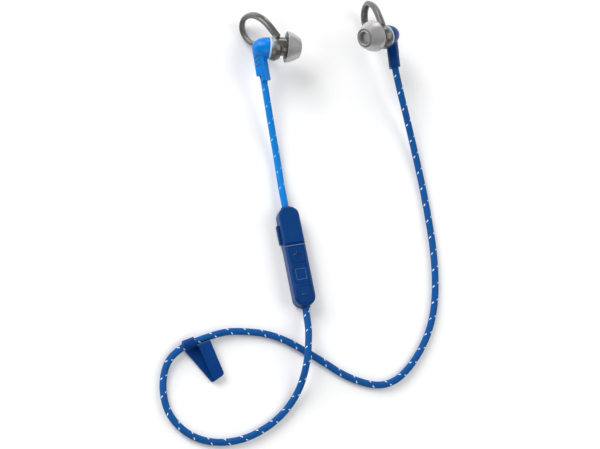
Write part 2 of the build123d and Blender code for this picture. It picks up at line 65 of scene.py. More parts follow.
# ---- cords ----
CORD_R = 1.45
BRAID_LEAD = 7.2
BRAID_YARNS = 8
FLECKS_PER_TURN = 4
FLECK_LENGTH = 1.5
FLECK_WIDTH = 0.55
FLECK_PROUD = 0.05
FLECK_SUNK = -0.03
FLECK_CLEAR = 3
BRIGHT_LENGTH = 58.8
NAVY_LENGTH = 377.2
BRIGHT_ROUTE = [
    (-15.09, 76.67, 9.48),
    (-13.1, 67.1, 7.5),
    (-10.3, 54.0, 4.6),
    (-7.5, 41.8, 1.8),
    (-5.8, 28.6, 3.1),
    (-3.99, 19.80, 3.45),
]
NAVY_ROUTE = [
    (3.99, -19.80, 3.45),
    (5.3, -29.0, 4.6),
    (4.8, -35.5, 7.7),
    (4.2, -46.0, 7.5),
    (1.2, -58.2, 2.0),
    (-8.2, -70.0, 1.45),
    (-23.6, -78.4, 1.45),
    (-40.6, -78.1, 1.45),
    (-53.0, -68.0, 1.45),
    (-55.6, -52.6, 1.45),
    (-50.9, -40.9, 2.15),
    (-32.4, -33.0, 2.2),
    (-23.2, -31.7, 1.45),
    (-8.0, -32.8, 1.45),
    (8.9, -41.6, 1.45),
    (24.0, -51.0, 1.45),
    (40.4, -53.8, 1.45),
    (52.7, -41.2, 1.45),
    (60.6, -22.6, 1.45),
    (61.3, 1.6, 1.45),
    (57.0, 29.6, 1.45),
    (53.7, 44.9, 1.8),
    (50.0, 58.2, 4.4),
    (46.4, 67.6, 8.9),
    (43.2, 76.2, 12.4),
    (41.38, 85.01, 13.06),
]

# ---- control pod, in its own frame: x across, y along, z up from its flat back ----
POD_LEAN = 11.4
POD_HALF_WIDTH = 4.45
POD_HALF_LENGTH = 21.5
POD_TOP = 7.6
POD_END_R = 4.1
POD_CHAMFER = 0.9
SEAM_LIP_Y = 4.5
SEAM_LIP_R = 0.17
SEAM_LIP_INSET = 0.15
SEAM_LIP_RISE = 0.02
SEAM_LIP_END = -0.1
KEYS = (("volume_up", 0.5), ("play", -8.1), ("volume_down", -16.7))
KEY_SIZE = (6.6, 7.2, 1.4)
KEY_GAP = 0.12
WEB_DEPTH = 0.12
WEB_DIP = 0.06
MARK_Z = 7.74
MARK_THICK = 0.03
MARK_LENGTH = 3.2
MARK_WIDTH = 0.62
FRAME_MARK = (4.7, 4.9, 0.6)
FRAME_MARK_LINE = 0.42
FRAME_MARK_INSIDE = 0.3

# ---- ear buds, in each bud's own frame: x along the ear tip, y away from the boot ----
BUD_PLACES = {
    "left": ((-11.6, 89.7, 13.2), (1.0, -0.03, -0.01), (0.198, -0.959, -0.200)),
    "right": ((35.0, 96.4, 18.1), (-0.79, -0.385, 0.477), (0.13, -0.987, -0.08)),
}
BODY_DROP = -1.25
RING_ROOM_R = 4.82
RING_ROOM_END = -0.88
SLEEVE_OUTLINE = [
    (-1.2, ON_AXIS),
    (-1.2, 5.0),
    (-0.6, 5.15),
    (0.6, 5.1),
    (1.8, 4.85),
    (2.6, 4.5),
    (3.0, 4.1),
    (3.0, ON_AXIS),
]
RING_TO_NOZZLE = (2.2, 2.6)
# Where the stabilizer's pale tint lies: partly clear silicone, partly a painted highlight kept to the lit
# upper side.
CLEAR_AND_LIT_START = (-1.9, -1.5)
CLEAR_AND_LIT_TO_GREY = (-1.0, 1.6)
CLEAR_AND_LIT_FROM_BELOW = (-3.0, 0.5)
CLEAR_AND_LIT_UP_TO = (3.4, 4.2)
BULGE_CENTRE = (0.5, -3.6, 0.0)
BULGE_SIZE = (2.1, 3.05, 3.9)
HOUSING_ROOM_R = 4.28
NOZZLE_ROOM_R = 2.68
HOUSING_ROOM_END = 2.08
NECK_START = 0.5
NECK_R = 4.05
NECK_END = 6.9
NECK_SOFT = 0.25
ROOM_BACK = -4
LOOP_WIDTH = 3.1
LOOP_THICK = 2.3
LOOP_ROUTES = {
    "left": [
        (1.2, 3.4, 2.8),
        (-2.6, 8.5, 1.0),
        (-6.1, 11.9, -2.2),
        (-9.0, 13.5, -6.9),
        (-11.8, 12.4, -11.4),
        (-12.1, 8.0, -13.8),
        (-9.8, 3.4, -12.6),
        (-6.6, 0.8, -9.8),
        (0.6, -0.6, -4.2),
    ],
    "right": [
        (1.2, 3.3, 2.4),
        (-2.4, 9.9, -1.2),
        (-4.8, 14.0, -5.2),
        (-6.9, 15.2, -9.4),
        (-8.6, 13.0, -14.0),
        (-8.6, 8.0, -16.0),
        (-7.0, 3.3, -14.0),
        (-4.6, 0.6, -9.6),
        (0.6, -0.6, -4.2),
    ],
}
TIP_OUTLINE = [
    (5.5, 6.7),
    (5.62, 6.8),
    (6.5, 6.62),
    (7.7, 6.25),
    (8.9, 5.72),
    (10.0, 5.12),
    (10.9, 4.6),
    (11.4, 4.3),
    (11.5, 4.1),
    (11.3, 3.9),
    (10.8, 3.72),
    (10.7, 3.5),
    (11.2, 3.36),
    (11.85, 3.2),
    (12.0, 3.0),
    (11.9, 2.78),
    (11.6, 2.68),
    (9.5, 2.68),
    (7.2, 2.68),
    (7.0, 2.8),
    (7.0, 3.2),
    (7.2, 3.35),
    (8.6, 3.4),
    (9.7, 3.5),
    (9.9, 3.95),
    (9.2, 4.75),
    (8.0, 5.45),
    (6.8, 5.95),
    (5.7, 6.28),
    (5.5, 6.45),
]

# ---- camera and lights, in metres; each light looks at the origin: place, size, power ----
CAMERA_PLACE = (-0.14712, -0.17680, 0.77020)
CAMERA_AIM = (0.00259, 0.01523, 0.0)
CAMERA_LENS = 114.3
CAMERA_SENSOR = 36
FLOOR_REACH = 1.0
WORLD_LIGHT = 0.14
BACKDROP_LIGHT = 0.86
LIGHTS = {
    "key_light": ((-0.8, 0.8, 0.8), 1.0, 17),
    "glint_light": ((-0.7, 0.9, 0.75), 0.12, 1.2),
    "fill_light": ((0.9, 0.1, 0.8), 1.0, 8),
    "front_light": ((-0.1, -1.0, 0.8), 1.0, 6),
    "low_left_light": ((-1.3, 0.3, 0.25), 0.5, 4),
    "low_back_light": ((0.2, 1.3, 0.4), 0.5, 4),
}


# ---------------------------------------------------------------- materials
def srgb(red, green, blue):
    """A linear colour from 0 to 255 values."""
    linear = []
    for value in (red, green, blue):
        share = value / 255
        linear.append(share / 12.92 if share <= 0.04045 else ((share + 0.055) / 1.055) ** 2.4)
    return (*linear, 1.0)


def scaled(colour, factor):
    return (*(min(1.0, part * factor) for part in colour[:3]), 1.0)


def noise(tree, vector, scale):
    node = tree.nodes.new("ShaderNodeTexNoise")
    node.inputs["Scale"].default_value = scale
    node.inputs["Detail"].default_value = 3.0
    tree.links.new(vector, node.inputs["Vector"])
    return node.outputs["Fac"]


def spread(tree, value, low, high):
    """A varying value, spread from low to high."""
    node = tree.nodes.new("ShaderNodeMapRange")
    node.inputs["From Min"].default_value = 0.3
    node.inputs["From Max"].default_value = 0.7
    node.inputs["To Min"].default_value = low
    node.inputs["To Max"].default_value = high
    tree.links.new(value, node.inputs["Value"])
    return node.outputs["Result"]


def ramp(tree, value, dark, light, start=0.3, end=0.7):
    """A colour that goes from dark to light as the value goes from start to end."""
    node = tree.nodes.new("ShaderNodeValToRGB")
    node.color_ramp.elements[0].position = start
    node.color_ramp.elements[0].color = dark
    node.color_ramp.elements[1].position = end
    node.color_ramp.elements[1].color = light
    tree.links.new(value, node.inputs["Fac"])
    return node.outputs["Color"]


def bump(tree, height, strength, depth):
    node = tree.nodes.new("ShaderNodeBump")
    node.inputs["Strength"].default_value = strength
    node.inputs["Distance"].default_value = depth * MM
    tree.links.new(height, node.inputs["Height"])
    return node.outputs["Normal"]


def math_node(tree, operation, *values):
    """A sum on numbers or on other nodes' outputs."""
    node = tree.nodes.new("ShaderNodeMath")
    node.operation = operation
    for socket, value in zip(node.inputs, values):
        if isinstance(value, (int, float)):
            socket.default_value = value
        else:
            tree.links.new(value, socket)
    return node.outputs["Value"]


def surface(name, colour, rough, drift=0.12, drift_size=6.0, grain_size=0.25, grain_depth=0.02, **sockets):
    """A moulded, foil or rubber surface: its tone and gloss drift slowly and it has a fine grain."""
    material = bpy.data.materials.new(name)
    material.use_nodes = True
    tree = material.node_tree
    shader = tree.nodes["Principled BSDF"]
    for socket, value in sockets.items():
        shader.inputs[socket.replace("_", " ")].default_value = value
    place = tree.nodes.new("ShaderNodeTexCoord").outputs["Object"]
    tone = noise(tree, place, 1 / (drift_size * MM))
    tree.links.new(
        ramp(tree, tone, scaled(colour, 1 - drift), scaled(colour, 1 + drift)),
        shader.inputs["Base Color"],
    )
    tree.links.new(spread(tree, tone, rough * 0.88, rough * 1.12), shader.inputs["Roughness"])
    grain = noise(tree, place, 1 / (grain_size * MM))
    tree.links.new(bump(tree, grain, 0.5, grain_depth), shader.inputs["Normal"])
    return material


def along_axis(tree, origin, way, start, end):
    """0 before start and 1 after end, in millimetres from the origin along a fixed direction."""
    place = tree.nodes.new("ShaderNodeTexCoord").outputs["Object"]
    depth = tree.nodes.new("ShaderNodeVectorMath")
    depth.operation = "DOT_PRODUCT"
    depth.inputs[1].default_value = way
    tree.links.new(place, depth.inputs[0])
    rise = tree.nodes.new("ShaderNodeMapRange")
    rise.interpolation_type = "SMOOTHSTEP"
    base = Vector(origin).dot(Vector(way))
    rise.inputs["From Min"].default_value = (base + start) * MM
    rise.inputs["From Max"].default_value = (base + end) * MM
    tree.links.new(depth.outputs["Value"], rise.inputs["Value"])
    return rise.outputs["Result"]


def tint(material, colour, mask):
    """Lays a second colour over a material's own where the mask is 1."""
    tree = material.node_tree
    base = tree.nodes["Principled BSDF"].inputs["Base Color"]
    own = base.links[0].from_socket
    mix = tree.nodes.new("ShaderNodeMix")
    mix.data_type = "RGBA"
    tree.links.new(mask, mix.inputs["Factor"])
    tree.links.new(own, mix.inputs[6])
    mix.inputs[7].default_value = colour
    tree.links.new(mix.outputs[2], base)


def braid(name, dark, light):
    """A braided sleeve: two families of yarns cross on the tube, over its length and round it; its colour
    darkens where the weave sinks, as painted shade between the yarns.
    """
    material = bpy.data.materials.new(name)
    material.use_nodes = True
    tree = material.node_tree
    shader = tree.nodes["Principled BSDF"]
    shader.inputs["Specular IOR Level"].default_value = 0.15
    weave = tree.nodes.new("ShaderNodeSeparateXYZ")
    tree.links.new(tree.nodes.new("ShaderNodeTexCoord").outputs["UV"], weave.inputs["Vector"])
    along = math_node(tree, "MULTIPLY", weave.outputs["X"], 1 / BRAID_LEAD)
    yarns = 2 * math.pi * BRAID_YARNS
    one_way = math_node(tree, "MULTIPLY", math_node(tree, "ADD", weave.outputs["Y"], along), yarns)
    other_way = math_node(tree, "MULTIPLY", math_node(tree, "SUBTRACT", weave.outputs["Y"], along), yarns)
    crossing = math_node(
        tree, "MULTIPLY", math_node(tree, "SINE", one_way), math_node(tree, "SINE", other_way)
    )
    height = math_node(tree, "MULTIPLY_ADD", crossing, 0.5, 0.5)
    # Darker where the weave is low: painted shade between the crossing yarns.
    tree.links.new(ramp(tree, height, dark, light, 0.15, 0.85), shader.inputs["Base Color"])
    place = tree.nodes.new("ShaderNodeTexCoord").outputs["Object"]
    fuzz = noise(tree, place, 1 / (0.3 * MM))
    tree.links.new(spread(tree, fuzz, 0.55, 0.8), shader.inputs["Roughness"])
    tree.links.new(bump(tree, height, 0.8, 0.12), shader.inputs["Normal"])
    return material


BRIGHT_BLUE = srgb(0, 116, 200)
NAVY = srgb(0, 54, 112)
SILICONE = srgb(80, 78, 76)
# Pale tint for the stabilizers: partly clear silicone, partly painted highlight.
CLEAR_AND_LIT_SILICONE = srgb(136, 146, 150)
TIP_SILICONE = srgb(150, 148, 148)
PALE_RING = srgb(176, 204, 226)
NOZZLE_GREY = srgb(104, 104, 106)
FLOOR_WHITE = (0.9, 0.9, 0.9, 1.0)
POD_PLASTIC = {"drift": 0.06, "grain_depth": 0.002}


def glossy_silicone(name):
    """The stabilizers' dark grey silicone, with a smooth skin over it."""
    gloss = {"Coat_Weight": 0.5, "Coat_Roughness": 0.12}
    return surface(name, SILICONE, 0.22, drift=0.08, grain_depth=0.006, **gloss)


MATERIALS = {
    "bright_braid": braid("bright_braid", srgb(0, 98, 182), srgb(0, 138, 216)),
    "navy_braid": braid("navy_braid", srgb(1, 56, 114), srgb(8, 94, 166)),
    "bright_fleck": surface("bright_fleck", srgb(120, 190, 240), 0.6),
    "navy_fleck": surface("navy_fleck", srgb(214, 224, 240), 0.6),
    "bright_shell": surface("bright_shell", BRIGHT_BLUE, 0.28, drift=0.06, Specular_IOR_Level=0.2),
    "navy_shell": surface("navy_shell", srgb(1, 54, 112), 0.28, drift=0.08, Specular_IOR_Level=0.2),
    "dark_teal_print": surface("dark_teal_print", srgb(6, 72, 108), 0.45),
    "pale_ring": surface("pale_ring", PALE_RING, 0.22, drift=0.04),
    "navy_gloss": surface("navy_gloss", NAVY, 0.36, Specular_IOR_Level=0.18, **POD_PLASTIC),
    "navy_keys": surface("navy_keys", srgb(0, 52, 110), 0.4, Specular_IOR_Level=0.15, **POD_PLASTIC),
    "navy_clip": surface("navy_clip", srgb(1, 54, 118), 0.36, drift=0.08, Specular_IOR_Level=0.15),
    "steel": surface("steel", srgb(200, 200, 204), 0.3, grain_size=0.1, Metallic=1.0),
    # Painted shade and painted highlight that show the keys' raised symbols.
    "painted_shade_mark": surface("painted_shade_mark", srgb(1, 40, 100), 0.4),
    "painted_highlight_mark": surface("painted_highlight_mark", srgb(12, 70, 138), 0.35),
    # Painted highlight: a lighter navy for the keypad's upper edge.
    "painted_highlight_lip": surface("painted_highlight_lip", srgb(82, 118, 190), 0.3),
    "mesh_steel": surface("mesh_steel", srgb(176, 176, 178), 0.4, grain_size=0.12, Metallic=1.0),
    "film": surface("film", srgb(222, 224, 228), 0.25),
    "rubber_black": surface("rubber_black", srgb(34, 34, 36), 0.65),
    "rubber_navy": surface("rubber_navy", srgb(3, 46, 112), 0.55, Specular_IOR_Level=0.3),
    "cell_foil": surface("cell_foil", srgb(204, 206, 210), 0.28, grain_size=0.8, Metallic=0.9),
    "board_green": surface("board_green", srgb(20, 92, 50), 0.45, drift=0.2, drift_size=1.5),
    "switch_black": surface("switch_black", srgb(38, 38, 40), 0.5),
    "light_lens": surface("light_lens", srgb(228, 234, 240), 0.12, Transmission_Weight=0.6),
    "grey_silicone": glossy_silicone("grey_silicone"),
    "clear_grey_silicone": surface(
        "clear_grey_silicone",
        TIP_SILICONE,
        0.34,
        drift=0.05,
        grain_depth=0.006,
        Transmission_Weight=0.22,
        IOR=1.41,
    ),
}

PLAIN_NODES = {
    "bright_shell": ["left_rear_shell"],
    "navy_shell": ["right_rear_shell"],
    "dark_teal_print": ["left_accent_bars", "right_accent_bars"],
    "navy_gloss": ["pod_back_shell", "pod_front_shell"],
    "navy_keys": ["volume_up_key", "play_key", "volume_down_key", "power_button", "port_door"],
    "navy_clip": ["clip_frame", "clip_jaw"],
    "steel": ["clip_pin", "clip_spring", "usb_socket", "left_driver_magnet", "right_driver_magnet"],
    "mesh_steel": ["left_nozzle_mesh", "right_nozzle_mesh"],
    "film": ["left_driver_diaphragm", "right_driver_diaphragm"],
    "rubber_black": ["left_cord_grommet", "right_cord_grommet"],
    "rubber_navy": ["upper_cord_gland", "lower_cord_gland"],
    "cell_foil": ["battery"],
    "board_green": ["circuit_board"],
    "switch_black": [
        "key_switches",
        "power_switch",
        "microphone",
        "left_driver_frame",
        "right_driver_frame",
    ],
    "light_lens": ["status_light"],
}
MELTED_NODES = ("left_rear_shell", "right_rear_shell")
EASED_NODES = {
    "pod_back_shell": 0.18,
    "pod_front_shell": 0.18,
    "clip_frame": 0.22,
    "clip_jaw": 0.22,
    "volume_up_key": 0.05,
    "play_key": 0.05,
    "volume_down_key": 0.05,
    "power_button": 0.1,
    "port_door": 0.1,
    "left_front_housing": 0.1,
    "right_front_housing": 0.1,
}


def set_material(piece, slot, material=None):
    """Gives a piece its finish: the given material, or the one listed for its slot."""
    piece.data.materials.clear()
    piece.data.materials.append(material or MATERIALS[slot])


def weld(piece):
    piece.modifiers.new("weld", "WELD").merge_threshold = WELD_REACH * MM


def ease_edges(piece, width):
    """Rounds the moulded edges of a CAD node, as a modifier."""
    weld(piece)
    bevel = piece.modifiers.new("ease", "BEVEL")
    bevel.width = width * MM
    bevel.segments = 3
    bevel.limit_method = "ANGLE"
    bevel.angle_limit = math.radians(35)
    bevel.use_clamp_overlap = True
    piece.modifiers.new("normals", "WEIGHTED_NORMAL").keep_sharp = False


def melt_edges(piece, voxel, rounds):
    """Flows the meeting surfaces of a moulded shell into each other, as modifiers."""
    weld(piece)
    remesh = piece.modifiers.new("remesh", "REMESH")
    remesh.mode = "VOXEL"
    remesh.voxel_size = voxel * MM
    remesh.use_smooth_shade = True
    smooth = piece.modifiers.new("smooth", "SMOOTH")
    smooth.factor = 0.5
    smooth.iterations = rounds


for slot, names in PLAIN_NODES.items():
    for name in names:
        set_material(NODES[name], slot)
for name, width in EASED_NODES.items():
    ease_edges(NODES[name], width)
for name in MELTED_NODES:
    melt_edges(NODES[name], SHELL_VOXEL, SHELL_SMOOTHING)


def bud_axes(side):
    """The bud's own x, y and z directions; the right bud is the left one's mirror image."""
    tip_way, boot_way = BUD_PLACES[side][1:]
    x_way = Vector(tip_way).normalized()
    down = Vector(boot_way)
    y_way = -(down - x_way * down.dot(x_way)).normalized()
    z_way = x_way.cross(y_way) * (1 if side == "left" else -1)
    return x_way, y_way, z_way


for side in SIDES:
    housing = surface(side + "_ring_and_nozzle", PALE_RING, 0.24, drift=0.04)
    nozzle = along_axis(housing.node_tree, BUD_PLACES[side][0], bud_axes(side)[0], *RING_TO_NOZZLE)
    tint(housing, NOZZLE_GREY, nozzle)
    set_material(NODES[side + "_front_housing"], "pale_ring", housing)


# ---------------------------------------------------------------- curves and tubes
def spline_points(name, route, smoothness=16):
    """Points in metres along the smooth NURBS line that has the route as its control points."""
    curve = bpy.data.curves.new(name, "CURVE")
    curve.dimensions = "3D"
    curve.resolution_u = smoothness
    spline = curve.splines.new("NURBS")
    spline.points.add(len(route) - 1)
    for point, place in zip(spline.points, route):
        point.co = (*(value * MM for value in place), 1.0)
    spline.order_u = 3
    spline.use_endpoint_u = True
    holder = bpy.data.objects.new(name, curve)
    bpy.context.scene.collection.objects.link(holder)
    line = bpy.data.meshes.new_from_object(holder)
    points = [vertex.co.copy() for vertex in line.vertices]
    bpy.data.objects.remove(holder)
    return points


def travelled(points):
    """Distance along the line at each point."""
    distances = [0.0]
    for before, after in zip(points, points[1:]):
        distances.append(distances[-1] + (after - before).length)
    return distances


def directions(points):
    """The line's direction at each point."""
    last = len(points) - 1
    return [(points[min(i + 1, last)] - points[max(i - 1, 0)]).normalized() for i in range(last + 1)]


def frames_on(points, first_up):
    """(across, up) at each point, carried along the line without twist."""
    ways = directions(points)
    up = (first_up - ways[0] * first_up.dot(ways[0])).normalized()
    found = []
    for before, way in zip([ways[0]] + ways, ways):
        up = before.rotation_difference(way) @ up
        up = (up - way * up.dot(way)).normalized()
        found.append((way.cross(up), up))
    return found


def upright_frames(points):
    """(across, up) at each point, with up kept as near to the table's normal as it can be."""
    found = []
    for way in directions(points):
        up = (Vector((0, 0, 1)) - way * way.z).normalized()
        found.append((way.cross(up), up))
    return found


def new_piece(name, vertices, faces):
    mesh = bpy.data.meshes.new(name)
    mesh.from_pydata(vertices, [], faces)
    mesh.polygons.foreach_set("use_smooth", [True] * len(faces))
    mesh.update()
    piece = bpy.data.objects.new(name, mesh)
    bpy.context.scene.collection.objects.link(piece)
    return piece


def tube_piece(name, points, frames, section):
    """A closed tube with the given section, a list of (across, up) offsets in metres, with UVs in
    millimetres along the tube and in turns round it."""
    count = len(section)
    vertices = []
    for centre, (across, up) in zip(points, frames):
        vertices += [centre + across * x + up * y for x, y in section]
    faces = []
    for ring in range(len(points) - 1):
        for i in range(count):
            j = (i + 1) % count
            low = ring * count
            faces.append((low + i, low + j, low + count + j, low + count + i))
    faces.append(tuple(reversed(range(count))))
    faces.append(tuple(range((len(points) - 1) * count, len(points) * count)))
    piece = new_piece(name, vertices, faces)
    far = travelled(points)
    layer = piece.data.uv_layers.new(name="UVMap")
    for polygon in piece.data.polygons[: (len(points) - 1) * count]:
        ring, i = divmod(polygon.index, count)
        corners = ((ring, i), (ring, i + 1), (ring + 1, i + 1), (ring + 1, i))
        for loop_index, (at_ring, at_i) in zip(polygon.loop_indices, corners):
            layer.data[loop_index].uv = (far[at_ring] / MM, at_i / count)
    return piece


def round_section(radius, count=20):
    turns = [2 * math.pi * i / count for i in range(count)]
    return [(radius * math.cos(t) * MM, radius * math.sin(t) * MM) for t in turns]


def strap_section(width, thick, count=28, squareness=0.62):
    """A flat strap's rounded section: width across, thickness up."""
    section = []
    for i in range(count):
        turn = 2 * math.pi * i / count
        x = math.copysign(abs(math.cos(turn)) ** squareness, math.cos(turn))
        y = math.copysign(abs(math.sin(turn)) ** squareness, math.sin(turn))
        section.append((x * width / 2 * MM, y * thick / 2 * MM))
    return section


def at_distance(points, far, distance):
    """The place on the line at a distance from its start, and the index of the run it is in."""
    index = 0
    while index < len(far) - 2 and far[index + 1] < distance:
        index += 1
    share = (distance - far[index]) / (far[index + 1] - far[index])
    return points[index].lerp(points[index + 1], share), index


def fleck_piece(name, points, frames, length):
    """Short raised stitches of a tracer yarn, a few for each turn it makes round the cord."""
    far = travelled(points)
    step = BRAID_LEAD / FLECKS_PER_TURN
    slope = math.atan2(2 * math.pi * CORD_R, BRAID_LEAD)
    rows = (-0.5, -0.25, 0.0, 0.25, 0.5)
    lanes = ((-0.5, FLECK_SUNK), (-0.22, FLECK_PROUD), (0.22, FLECK_PROUD), (0.5, FLECK_SUNK))
    vertices = []
    faces = []
    for number in range(int(FLECK_CLEAR / step) + 1, int((length - FLECK_CLEAR) / step)):
        middle = number * step
        turn = math.pi / 4 + number * 2 * math.pi / FLECKS_PER_TURN
        start = len(vertices)
        for row in rows:
            for lane, proud in lanes:
                run = row * FLECK_LENGTH
                side = lane * FLECK_WIDTH
                forward = run * math.cos(slope) - side * math.sin(slope)
                around = run * math.sin(slope) + side * math.cos(slope)
                centre, index = at_distance(points, far, (middle + forward) * MM)
                across, up = frames[index]
                angle = -turn - around / CORD_R
                taper = proud if abs(row) < 0.5 else FLECK_SUNK
                reach = (CORD_R + taper) * MM
                vertices.append(centre + (across * math.cos(angle) + up * math.sin(angle)) * reach)
        for i in range(len(rows) - 1):
            for j in range(len(lanes) - 1):
                low = start + i * len(lanes) + j
                faces.append((low, low + 1, low + len(lanes) + 1, low + len(lanes)))
    return new_piece(name, vertices, faces)


def make_cord(name, route, length, slot, fleck_slot):
    """A braided cord on its route, with its flecks, in the place of its CAD solid."""
    points = spline_points(name + "_line", route)
    frames = upright_frames(points)
    cord = tube_piece(name + "_braid", points, frames, round_section(CORD_R))
    flecks = fleck_piece(name + "_flecks", points, frames, length)
    set_material(cord, slot)
    set_material(flecks, fleck_slot)
    for piece in (cord, flecks):
        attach(piece, "headset")
    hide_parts(name)


make_cord("bright_cord", BRIGHT_ROUTE, BRIGHT_LENGTH, "bright_braid", "bright_fleck")
make_cord("navy_cord", NAVY_ROUTE, NAVY_LENGTH, "navy_braid", "navy_fleck")


# ---------------------------------------------------------------- pod details
POD_TURN = Matrix.Rotation(math.radians(POD_LEAN), 4, "Z")


def rounded_outline(width, length, corner, steps=6):
    """Points round a rounded rectangle, anticlockwise."""
    outline = []
    for quarter in range(4):
        sign_x = 1 if quarter in (0, 3) else -1
        sign_y = 1 if quarter in (0, 1) else -1
        for i in range(steps + 1):
            turn = math.pi / 2 * (quarter + i / steps)
            outline.append(
                (
                    sign_x * (width / 2 - corner) + corner * math.cos(turn),
                    sign_y * (length / 2 - corner) + corner * math.sin(turn),
                )
            )
    return outline


def pod_surface_z(x, y):
    """The height of the pod's face, which falls away over its chamfered edge."""
    out_x = max(0.0, abs(x) - (POD_HALF_WIDTH - POD_END_R))
    out_y = max(0.0, abs(y) - (POD_HALF_LENGTH - POD_END_R))
    return POD_TOP - max(0.0, math.hypot(out_x, out_y) - (POD_END_R - POD_CHAMFER))


def stacked_rings(name, rings, closed_top):
    """A skin over matching outlines of points in millimetres, from the outside in."""
    count = len(rings[0])
    vertices = [POD_TURN @ (Vector(point) * MM) for ring in rings for point in ring]
    faces = []
    for ring in range(len(rings) - 1):
        for i in range(count):
            j = (i + 1) % count
            low = ring * count
            faces.append((low + i, low + j, low + count + j, low + count + i))
    if closed_top:
        faces.append(tuple(range((len(rings) - 1) * count, len(rings) * count)))
    return new_piece(name, vertices, faces)


def make_key_web(name, centre_y):
    """The soft web between a key and the shell, a little below their faces."""
    width, length, corner = KEY_SIZE
    rings = []
    for grow, dip in ((2 * KEY_GAP, WEB_DIP), (KEY_GAP, 0.0), (0.0, WEB_DIP)):
        ring = []
        for x, y in rounded_outline(width + grow, length + grow, corner + grow / 2):
            z = pod_surface_z(x, y + centre_y) - WEB_DEPTH - dip
            ring.append((x, y + centre_y, z))
        rings.append(ring)
    web = stacked_rings(name + "_key_web", rings, closed_top=False)
    set_material(web, "navy_keys")
    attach(web, "headset")


def bar_outline(length, width, centre_y):
    """A short bar with rounded ends, across the pod or along it."""
    return [(x, y + centre_y) for x, y in rounded_outline(length, width, min(length, width) * 0.3)]


def mark_rings(outline, inner_outline=None):
    """Rings for a thin raised mark: up its side, over its top, and down again where it is a frame."""
    low = [(x, y, MARK_Z) for x, y in outline]
    high = [(x, y, MARK_Z + MARK_THICK) for x, y in outline]
    rings = [low, high]
    if inner_outline:
        rings.append([(x, y, MARK_Z + MARK_THICK) for x, y in inner_outline])
        rings.append([(x, y, MARK_Z) for x, y in inner_outline])
    return rings


def make_key_marks():
    """Plus, square outline and minus, laid over the keys' raised symbols: painted shade on the plus and
    minus, a painted highlight on the square.
    """
    for name, centre_y in KEYS:
        if name == "play":
            width, length, corner = FRAME_MARK
            line = 2 * FRAME_MARK_LINE
            outer = rounded_outline(width, length, corner)
            inner = rounded_outline(width - line, length - line, corner - FRAME_MARK_INSIDE)
            shapes = [[[(x, y + centre_y) for x, y in ring] for ring in (outer, inner)]]
        elif name == "volume_up":
            shapes = [
                [bar_outline(MARK_LENGTH, MARK_WIDTH, centre_y)],
                [bar_outline(MARK_WIDTH, MARK_LENGTH, centre_y)],
            ]
        else:
            shapes = [[bar_outline(MARK_LENGTH, MARK_WIDTH, centre_y)]]
        for number, outlines in enumerate(shapes):
            closed_top = len(outlines) == 1
            mark = stacked_rings(f"{name}_mark_{number}", mark_rings(*outlines), closed_top)
            set_material(mark, "painted_highlight_mark" if name == "play" else "painted_shade_mark")
            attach(mark, name)


def make_seam_lip():
    """The rounded lip along the raised keypad's upper edge, over both chamfers, in a lighter navy as a
    painted highlight along that edge.
    """
    side = POD_HALF_WIDTH - SEAM_LIP_INSET
    flat = POD_HALF_WIDTH - POD_CHAMFER
    line = [(-side, SEAM_LIP_END), (side, SEAM_LIP_END)]
    line[1:1] = [(x, SEAM_LIP_RISE) for x in (-flat, 0.0, flat)]
    points = []
    for x, rise in line:
        z = POD_TOP - max(0.0, abs(x) - flat) + rise
        points.append(POD_TURN @ (Vector((x, SEAM_LIP_Y, z)) * MM))
    lip = tube_piece("seam_lip", points, upright_frames(points), round_section(SEAM_LIP_R, 12))
    set_material(lip, "painted_highlight_lip")
    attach(lip, "headset")


for key_name, key_y in KEYS:
    make_key_web(key_name, key_y)
make_key_marks()
make_seam_lip()


# ---------------------------------------------------------------- ear tips and stabilizers
def bud_matrix(side):
    """The bud's own frame in the table frame; the right bud is the left one's mirror image."""
    origin = BUD_PLACES[side][0]
    turn = Matrix(bud_axes(side)).transposed().to_4x4()
    return Matrix.Translation(Vector(origin) * MM) @ turn


def lathe_piece(name, outline, centre_y=0.0, count=64):
    """A body turned about the bud's x axis from a closed outline of (x, radius) points."""
    vertices = []
    for x, radius in outline:
        for i in range(count):
            turn = 2 * math.pi * i / count
            vertices.append(
                Vector((x, centre_y + radius * math.cos(turn), radius * math.sin(turn))) * MM
            )
    rings = len(outline)
    faces = []
    for ring in range(rings):
        after = (ring + 1) % rings
        for i in range(count):
            j = (i + 1) % count
            faces.append((ring * count + i, after * count + i, after * count + j, ring * count + j))
    return new_piece(name, vertices, faces)


def settle(piece, side):
    """Moves a piece from the bud's own frame into the table frame, faces outwards."""
    piece.data.transform(bud_matrix(side))
    if side == "right":
        piece.data.flip_normals()


def apply_modifiers(piece):
    bpy.context.view_layer.update()
    graph = bpy.context.evaluated_depsgraph_get()
    mesh = bpy.data.meshes.new_from_object(piece.evaluated_get(graph))
    piece.modifiers.clear()
    piece.data = mesh


def bulge_outline():
    """A ball's outline, from its back to its front on the axis."""
    steps = 16
    turns = [math.pi * i / steps for i in range(steps + 1)]
    return [(-math.cos(turn), max(math.sin(turn), ON_AXIS)) for turn in turns]


def joined(name, pieces):
    """One mesh from several closed meshes."""
    vertices = []
    faces = []
    for piece in pieces:
        start = len(vertices)
        vertices += [vertex.co.copy() for vertex in piece.data.vertices]
        faces += [tuple(start + i for i in polygon.vertices) for polygon in piece.data.polygons]
        bpy.data.objects.remove(piece)
    return new_piece(name, vertices, faces)


